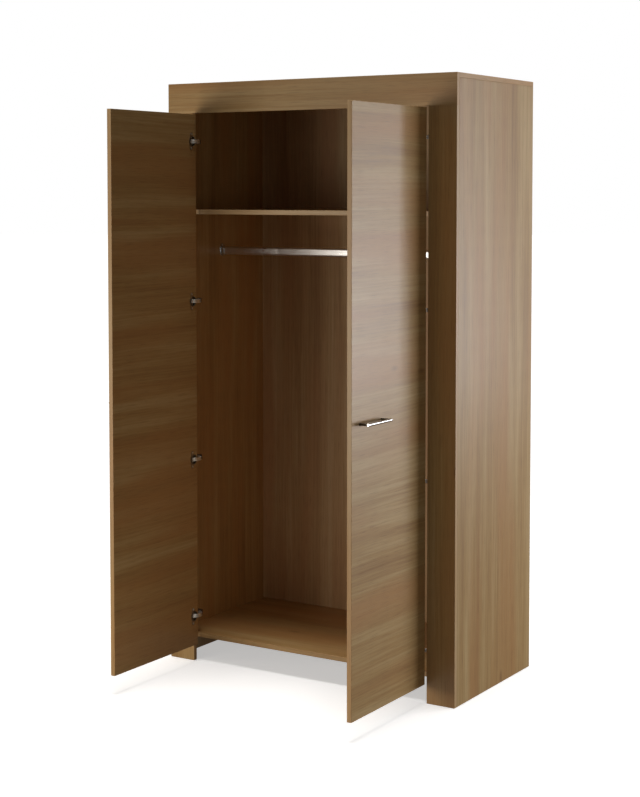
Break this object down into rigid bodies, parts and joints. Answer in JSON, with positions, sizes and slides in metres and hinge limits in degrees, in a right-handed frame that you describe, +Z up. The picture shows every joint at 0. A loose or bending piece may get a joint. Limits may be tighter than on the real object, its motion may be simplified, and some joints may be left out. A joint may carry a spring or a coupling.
{
  "type": "two-door wardrobe",
  "caption": "Tall free-standing wardrobe with inset swing doors, bar handles, a hat shelf and a hanging rail, in wood-decor board.",
  "frame": {"origin": "on the floor, in the middle of the cabinet's footprint (the open doors are not counted)", "axes": "+Z up, +Y from the front to the back, +X to the right seen from the front"},
  "size_m": [1.118, 1.0188, 2],
  "materials": {
    "oak_decor_board": "matt wood-decor foil on particle board",
    "oak_decor_hardboard": "matt wood-decor print on thin hardboard",
    "joint_strip_plastic": "satin extruded plastic",
    "chromed_rail_steel": "bright chrome",
    "polished_handle_metal": "satin chrome",
    "zinc_plated_fasteners": "bright zinc plate",
    "nickel_plated_hinge_steel": "nickel plate",
    "cast_zinc_cams": "as cast",
    "beech_dowels": "turned"
  },
  "bodies": {
    "carcass": {"back_joint_strip": "joint_strip_plastic", "back_nails": "zinc_plated_fasteners", "back_panel_left": "oak_decor_hardboard", "back_panel_right": "oak_decor_hardboard", "base_rail": "oak_decor_board", "bottom_panel": "oak_decor_board", "cam_bolts": "zinc_plated_fasteners", "cam_discs": "cast_zinc_cams", "dowels": "beech_dowels", "fascia": "oak_decor_board", "front_post_left": "oak_decor_board", "front_post_right": "oak_decor_board", "hanging_rail": "chromed_rail_steel", "hinge_arm_left_1": "nickel_plated_hinge_steel", "hinge_arm_left_2": "nickel_plated_hinge_steel", "hinge_arm_left_3": "nickel_plated_hinge_steel", "hinge_arm_left_4": "nickel_plated_hinge_steel", "hinge_arm_right_1": "nickel_plated_hinge_steel", "hinge_arm_right_2": "nickel_plated_hinge_steel", "hinge_arm_right_3": "nickel_plated_hinge_steel", "hinge_arm_right_4": "nickel_plated_hinge_steel", "hinge_plate_screws": "zinc_plated_fasteners", "hinge_plates_left": "nickel_plated_hinge_steel", "hinge_plates_right": "nickel_plated_hinge_steel", "rail_screws": "zinc_plated_fasteners", "rail_support_left": "chromed_rail_steel", "rail_support_right": "chromed_rail_steel", "shelf": "oak_decor_board", "side_panel_left": "oak_decor_board", "side_panel_right": "oak_decor_board", "top_panel": "oak_decor_board"},
    "door_left": {"door_left": "oak_decor_board", "handle_bar_left": "polished_handle_metal", "handle_legs_left": "polished_handle_metal", "handle_screw_caps_left": "oak_decor_board", "handle_screws_left": "zinc_plated_fasteners", "hinge_cup_left_1": "nickel_plated_hinge_steel", "hinge_cup_left_2": "nickel_plated_hinge_steel", "hinge_cup_left_3": "nickel_plated_hinge_steel", "hinge_cup_left_4": "nickel_plated_hinge_steel", "hinge_cup_pins_left": "nickel_plated_hinge_steel", "hinge_cup_screws_left": "zinc_plated_fasteners"},
    "door_right": {"door_right": "oak_decor_board", "handle_bar_right": "polished_handle_metal", "handle_legs_right": "polished_handle_metal", "handle_screw_caps_right": "oak_decor_board", "handle_screws_right": "zinc_plated_fasteners", "hinge_cup_pins_right": "nickel_plated_hinge_steel", "hinge_cup_right_1": "nickel_plated_hinge_steel", "hinge_cup_right_2": "nickel_plated_hinge_steel", "hinge_cup_right_3": "nickel_plated_hinge_steel", "hinge_cup_right_4": "nickel_plated_hinge_steel", "hinge_cup_screws_right": "zinc_plated_fasteners"},
    "hinge_levers_left": {"hinge_levers_left": "nickel_plated_hinge_steel"},
    "hinge_levers_right": {"hinge_levers_right": "nickel_plated_hinge_steel"}
  },
  "joints": [
    {"name": "door_left_swing", "type": "hinge", "parent": "carcass", "child": "door_left", "pos_m": [-0.4577, -0.2826, 1], "axis": [0, 0, 1], "range_deg": [-15, 90]},
    {"name": "hinge_levers_left_turn", "type": "hinge", "parent": "door_left", "child": "hinge_levers_left", "pos_m": [-0.44443, -0.30397, 1], "axis": [0, 0, 1], "range_deg": [-36.5, 6.5]},
    {"name": "door_right_swing", "type": "hinge", "parent": "carcass", "child": "door_right", "pos_m": [0.4577, -0.2826, 1], "axis": [0, 0, -1], "range_deg": [-15, 90]},
    {"name": "hinge_levers_right_turn", "type": "hinge", "parent": "door_right", "child": "hinge_levers_right", "pos_m": [0.44443, -0.30397, 1], "axis": [0, 0, -1], "range_deg": [-36.5, 6.5]}
  ],
  "couplings": [
    {"joint": "hinge_levers_left_turn", "follows": "door_left_swing", "ratio": -0.4},
    {"joint": "hinge_levers_right_turn", "follows": "door_right_swing", "ratio": -0.4}
  ]
}
